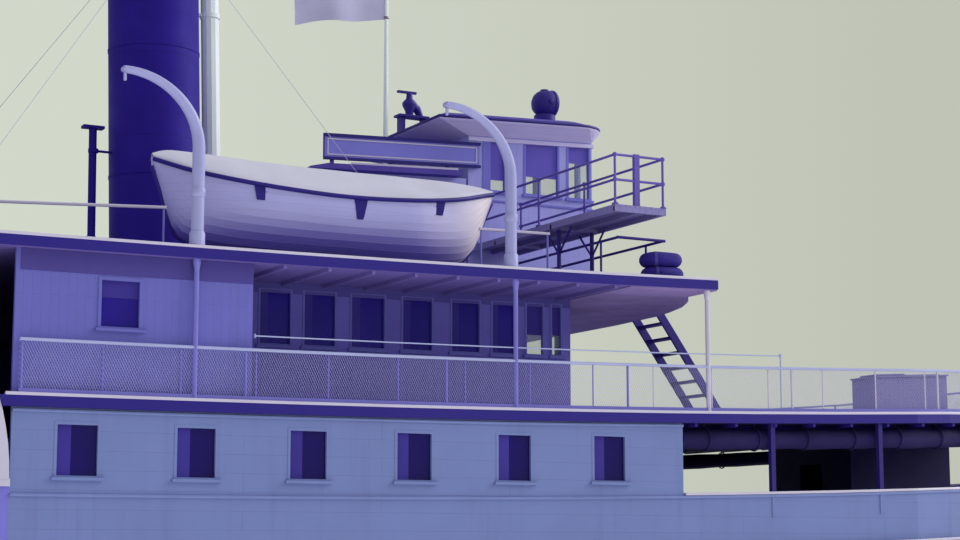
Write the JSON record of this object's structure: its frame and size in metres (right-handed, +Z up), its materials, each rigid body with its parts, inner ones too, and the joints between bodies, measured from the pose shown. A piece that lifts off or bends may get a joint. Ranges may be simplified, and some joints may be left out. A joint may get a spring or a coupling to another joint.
{
  "type": "side-wheel paddle steamer, 1:2 scale model",
  "caption": "Side-wheel passenger steamer with two upper decks, walking-beam engine, tall funnel, pilot house, lifeboats on davits, paddle boxes, turning wheels and rudder.",
  "frame": {"origin": "on the flat bottom of the hull, on the centreline, midway between bow and stern", "axes": "+X towards the bow, +Y to port, +Z up"},
  "size_m": [33.53, 8.75, 10.1],
  "materials": {
    "hull_paint": "semi-gloss paint",
    "house_paint": "painted boards, satin",
    "deck_paint": "painted planks",
    "rail_paint": "gloss paint",
    "roof_paint": "painted canvas and board",
    "dark_paint": "satin paint",
    "funnel_paint": "matte heat-proof paint",
    "iron": "painted iron, oily",
    "wheel_paint": "worn red lead paint",
    "rudder_paint": "worn red lead paint",
    "boat_paint": "gloss paint",
    "boat_cover": "painted canvas",
    "davit_paint": "gloss paint",
    "dark_canvas": "tarred canvas",
    "flag_cloth": "bunting",
    "window_glass": "clear glass",
    "netting": "painted wire",
    "brass": "dull brass"
  },
  "bodies": {
    "ship": {"hull": "hull_paint", "main_deck": "deck_paint", "main_side_fore_starboard": "house_paint", "main_side_fore_port": "house_paint", "main_side_aft_starboard": "house_paint", "main_side_aft_port": "house_paint", "main_front_wall": "house_paint", "main_back_wall": "house_paint", "fore_deckhouse": "dark_paint", "promenade_deck": "deck_paint", "promenade_rail_fore": "rail_paint", "promenade_rail_aft": "rail_paint", "saloon_side_fore_starboard": "house_paint", "saloon_side_fore_port": "house_paint", "saloon_side_aft_starboard": "house_paint", "saloon_side_aft_port": "house_paint", "saloon_front": "house_paint", "saloon_back": "house_paint", "wing_cabin_fore_starboard": "house_paint", "wing_cabin_fore_port": "house_paint", "wing_cabin_aft_starboard": "house_paint", "wing_cabin_aft_port": "house_paint", "paddle_box_starboard": "house_paint", "paddle_box_port": "house_paint", "hurricane_deck": "deck_paint", "hurricane_rail": "rail_paint", "texas_cabin": "house_paint", "texas_roof": "roof_paint", "pilot_house": "house_paint", "pilot_roof": "roof_paint", "bridge_wing_starboard": "rail_paint", "bridge_wing_port": "rail_paint", "life_floats": "dark_canvas", "searchlight": "dark_paint", "funnel": "funnel_paint", "whistle_pipe": "rail_paint", "gallows_frame": "dark_paint", "engine_and_boiler": "iron", "lifeboat_fore_starboard": "boat_paint", "lifeboat_fore_port": "boat_paint", "lifeboat_aft_starboard": "boat_paint", "lifeboat_aft_port": "boat_paint", "flagstaff": "rail_paint", "flag": "flag_cloth", "ladder": "dark_paint"},
    "paddle_wheels": {"paddle_shaft": "iron", "paddle_wheel_starboard": "wheel_paint", "paddle_wheel_port": "wheel_paint"},
    "rudder": {"rudder": "rudder_paint"},
    "walking_beam": {"walking_beam": "iron"},
    "connecting_rod": {"connecting_rod": "iron"},
    "piston_link": {"piston_link": "iron"},
    "davit_fore_a_starboard": {"davit_fore_a_starboard": "davit_paint"},
    "davit_fore_a_port": {"davit_fore_a_port": "davit_paint"},
    "davit_fore_b_starboard": {"davit_fore_b_starboard": "davit_paint"},
    "davit_fore_b_port": {"davit_fore_b_port": "davit_paint"},
    "davit_aft_a_starboard": {"davit_aft_a_starboard": "davit_paint"},
    "davit_aft_a_port": {"davit_aft_a_port": "davit_paint"},
    "davit_aft_b_starboard": {"davit_aft_b_starboard": "davit_paint"},
    "davit_aft_b_port": {"davit_aft_b_port": "davit_paint"}
  },
  "joints": [
    {"name": "paddle_turn", "type": "hinge", "parent": "ship", "child": "paddle_wheels", "pos_m": [-1.6, 0, 2.48], "axis": [0, 1, 0], "continuous": true},
    {"name": "rudder_turn", "type": "hinge", "parent": "ship", "child": "rudder", "pos_m": [-15.475, 0, 0.6], "axis": [0, 0, 1], "range_deg": [-35, 35]},
    {"name": "beam_rock", "type": "hinge", "parent": "ship", "child": "walking_beam", "pos_m": [-3.25, 0, 6.3], "axis": [0, 1, 0], "range_deg": [-24, 24]},
    {"name": "connecting_rod_swing", "type": "hinge", "parent": "walking_beam", "child": "connecting_rod", "pos_m": [-1.6, 0, 6.3], "axis": [0, 1, 0], "range_deg": [-25, 25]},
    {"name": "piston_link_swing", "type": "hinge", "parent": "walking_beam", "child": "piston_link", "pos_m": [-4.9, 0, 6.3], "axis": [0, 1, 0], "range_deg": [-25, 25]},
    {"name": "davit_fore_a_starboard_swivel", "type": "hinge", "parent": "ship", "child": "davit_fore_a_starboard", "pos_m": [2.155, -4.3, 4.5], "axis": [0, 0, 1], "range_deg": [-90, 90]},
    {"name": "davit_fore_a_port_swivel", "type": "hinge", "parent": "ship", "child": "davit_fore_a_port", "pos_m": [2.155, 4.3, 4.5], "axis": [0, 0, 1], "range_deg": [-90, 90]},
    {"name": "davit_fore_b_starboard_swivel", "type": "hinge", "parent": "ship", "child": "davit_fore_b_starboard", "pos_m": [5.235, -4.3, 4.5], "axis": [0, 0, 1], "range_deg": [-90, 90]},
    {"name": "davit_fore_b_port_swivel", "type": "hinge", "parent": "ship", "child": "davit_fore_b_port", "pos_m": [5.235, 4.3, 4.5], "axis": [0, 0, 1], "range_deg": [-90, 90]},
    {"name": "davit_aft_a_starboard_swivel", "type": "hinge", "parent": "ship", "child": "davit_aft_a_starboard", "pos_m": [-11.12, -4.3, 4.5], "axis": [0, 0, 1], "range_deg": [-90, 90]},
    {"name": "davit_aft_a_port_swivel", "type": "hinge", "parent": "ship", "child": "davit_aft_a_port", "pos_m": [-11.12, 4.3, 4.5], "axis": [0, 0, 1], "range_deg": [-90, 90]},
    {"name": "davit_aft_b_starboard_swivel", "type": "hinge", "parent": "ship", "child": "davit_aft_b_starboard", "pos_m": [-8.04, -4.3, 4.5], "axis": [0, 0, 1], "range_deg": [-90, 90]},
    {"name": "davit_aft_b_port_swivel", "type": "hinge", "parent": "ship", "child": "davit_aft_b_port", "pos_m": [-8.04, 4.3, 4.5], "axis": [0, 0, 1], "range_deg": [-90, 90]}
  ],
  "couplings": [
    {"joint": "connecting_rod_swing", "follows": "beam_rock", "ratio": -1},
    {"joint": "piston_link_swing", "follows": "beam_rock", "ratio": -1}
  ]
}
